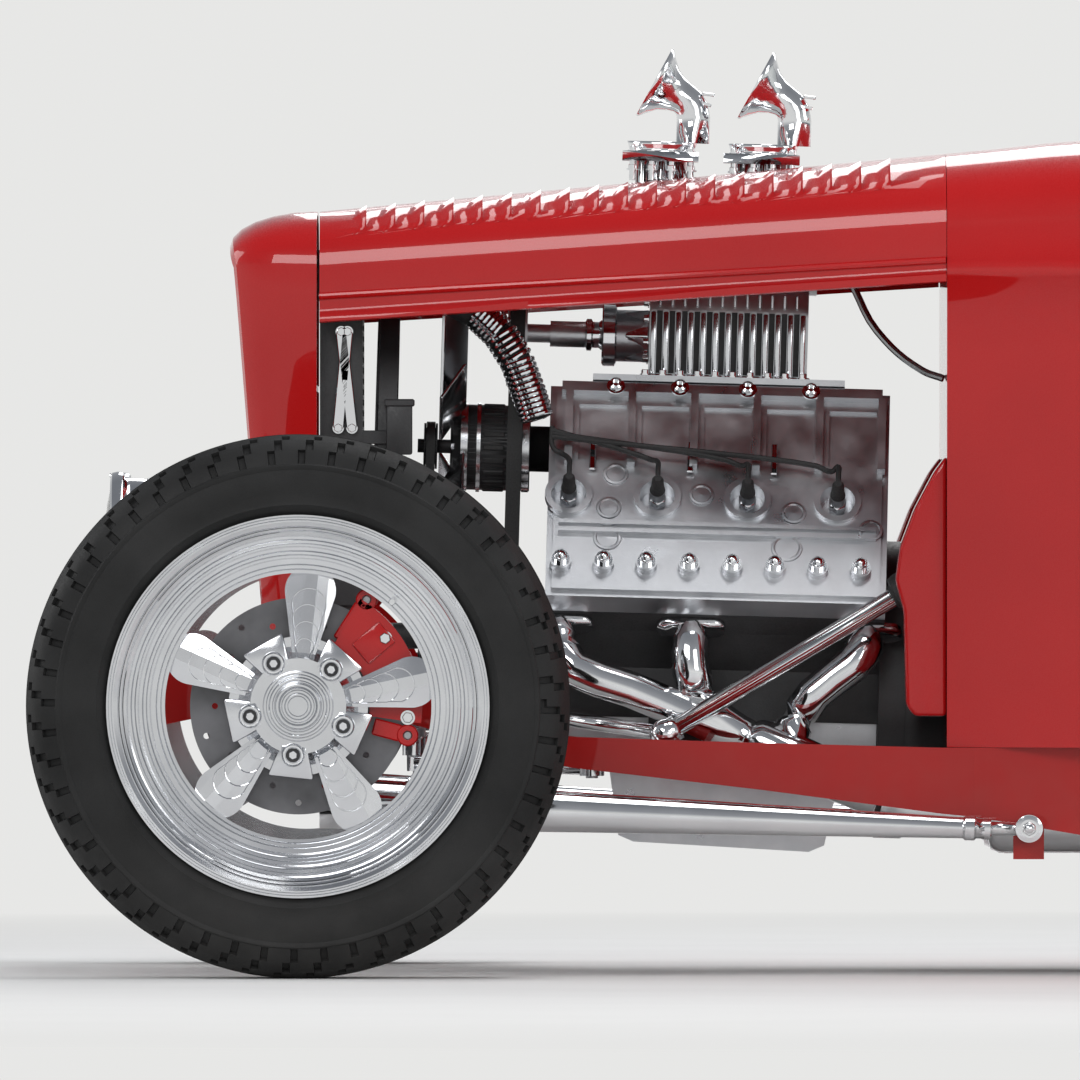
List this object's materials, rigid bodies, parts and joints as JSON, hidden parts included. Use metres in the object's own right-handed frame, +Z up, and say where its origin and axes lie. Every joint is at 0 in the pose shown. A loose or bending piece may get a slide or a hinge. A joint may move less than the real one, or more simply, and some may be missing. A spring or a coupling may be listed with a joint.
{
  "type": "roadster",
  "caption": "Open two-seat roadster without wings: louvred hood top, open finned V8 with a blower and twin scoops, steered front axle, opening doors and boot lid.",
  "frame": {"origin": "on the ground, midway along the overall length and on the middle line", "axes": "+X forward, +Y to the car's left, +Z up"},
  "size_m": [3.6509, 1.77, 1.34],
  "materials": {
    "red_paint": "gloss",
    "chrome_plate": "polished",
    "cast_alloy": "polished",
    "black_iron": "satin",
    "bare_steel": "brushed",
    "tyre_rubber": "matte",
    "hose_rubber": "matte",
    "clear_glass": "clear",
    "red_glass": "clear",
    "tan_leather": "satin",
    "carpet": "matte"
  },
  "bodies": {
    "chassis": {"frame": "red_paint", "front_axle": "chrome_plate", "front_spring": "bare_steel", "radius_rods": "chrome_plate", "rear_axle": "black_iron", "rear_suspension": "chrome_plate", "fuel_tank": "red_paint", "grille_shell": "red_paint", "grille_bars": "chrome_plate", "radiator": "black_iron", "hood": "red_paint", "cowl": "red_paint", "firewall": "red_paint", "floor": "carpet", "rear_body": "red_paint", "hinges": "chrome_plate", "dashboard": "red_paint", "windshield_frame": "chrome_plate", "windshield_glass": "clear_glass", "seat": "tan_leather", "steering_column": "chrome_plate", "engine_block": "black_iron", "oil_pan": "cast_alloy", "heads": "cast_alloy", "blower": "cast_alloy", "carburettors": "chrome_plate", "generator": "black_iron", "crank_pulley": "black_iron", "belts": "hose_rubber", "hoses": "chrome_plate", "headers": "chrome_plate", "exhaust": "chrome_plate", "transmission": "black_iron", "headlamps": "chrome_plate", "headlamp_lenses": "clear_glass", "tail_lamps": "red_glass"},
    "wheel_front_left": {"wheel_front_left": "chrome_plate", "tyre_front_left": "tyre_rubber", "disc_left": "bare_steel"},
    "wheel_front_right": {"wheel_front_right": "chrome_plate", "tyre_front_right": "tyre_rubber", "disc_right": "bare_steel"},
    "wheel_rear_left": {"wheel_rear_left": "chrome_plate", "tyre_rear_left": "tyre_rubber"},
    "wheel_rear_right": {"wheel_rear_right": "chrome_plate", "tyre_rear_right": "tyre_rubber"},
    "knuckle_left": {"knuckle_left": "bare_steel", "caliper_left": "red_paint"},
    "knuckle_right": {"knuckle_right": "bare_steel", "caliper_right": "red_paint"},
    "tie_rod": {"tie_rod": "chrome_plate"},
    "pitman_arm": {"pitman_arm": "bare_steel"},
    "drag_link": {"drag_link": "chrome_plate"},
    "steering_wheel": {"steering_wheel": "black_iron"},
    "door_left": {"door_left": "red_paint"},
    "door_right": {"door_right": "red_paint"},
    "boot_lid": {"boot_lid": "red_paint"}
  },
  "joints": [
    {"name": "steer_left", "type": "hinge", "parent": "chassis", "child": "knuckle_left", "pos_m": [1.4745, 0.64, 0.351], "axis": [0, 0, 1], "range_deg": [-28, 28]},
    {"name": "steer_right", "type": "hinge", "parent": "chassis", "child": "knuckle_right", "pos_m": [1.4745, -0.64, 0.351], "axis": [0, 0, 1], "range_deg": [-28, 28]},
    {"name": "tie_rod_pivot", "type": "hinge", "parent": "knuckle_left", "child": "tie_rod", "pos_m": [1.3245, 0.64, 0.298], "axis": [0, 0, 1], "range_deg": [-28, 28]},
    {"name": "pitman_pivot", "type": "hinge", "parent": "chassis", "child": "pitman_arm", "pos_m": [1.2445, 0.205, 0.268], "axis": [0, 0, 1], "range_deg": [-28, 28]},
    {"name": "drag_link_pivot", "type": "hinge", "parent": "pitman_arm", "child": "drag_link", "pos_m": [1.0945, 0.205, 0.268], "axis": [0, 0, 1], "range_deg": [-28, 28]},
    {"name": "steering_wheel_turn", "type": "hinge", "parent": "chassis", "child": "steering_wheel", "pos_m": [0.0045, 0.282, 0.9075], "axis": [-0.8581, 0, 0.5135], "range_deg": [-392, 392]},
    {"name": "spin_front_left", "type": "hinge", "parent": "knuckle_left", "child": "wheel_front_left", "pos_m": [1.4745, 0.71, 0.351], "axis": [0, 1, 0], "continuous": true},
    {"name": "spin_front_right", "type": "hinge", "parent": "knuckle_right", "child": "wheel_front_right", "pos_m": [1.4745, -0.71, 0.351], "axis": [0, 1, 0], "continuous": true},
    {"name": "spin_rear_left", "type": "hinge", "parent": "chassis", "child": "wheel_rear_left", "pos_m": [-1.2175, 0.74, 0.385], "axis": [0, 1, 0], "continuous": true},
    {"name": "spin_rear_right", "type": "hinge", "parent": "chassis", "child": "wheel_rear_right", "pos_m": [-1.2175, -0.74, 0.385], "axis": [0, 1, 0], "continuous": true},
    {"name": "door_left_hinge", "type": "hinge", "parent": "chassis", "child": "door_left", "pos_m": [0.3645, 0.528, 0.645], "axis": [0, 0, -1], "range_deg": [0, 65]},
    {"name": "door_right_hinge", "type": "hinge", "parent": "chassis", "child": "door_right", "pos_m": [0.3645, -0.528, 0.645], "axis": [0, 0, 1], "range_deg": [0, 65]},
    {"name": "boot_lid_hinge", "type": "hinge", "parent": "chassis", "child": "boot_lid", "pos_m": [-0.7135, 0, 1.00714], "axis": [0, 1, 0], "range_deg": [0, 55]}
  ],
  "couplings": [
    {"joint": "steer_right", "follows": "steer_left", "ratio": 1},
    {"joint": "tie_rod_pivot", "follows": "steer_left", "ratio": -1},
    {"joint": "pitman_pivot", "follows": "steer_left", "ratio": 1},
    {"joint": "drag_link_pivot", "follows": "steer_left", "ratio": -1},
    {"joint": "steering_wheel_turn", "follows": "steer_left", "ratio": 14}
  ]
}
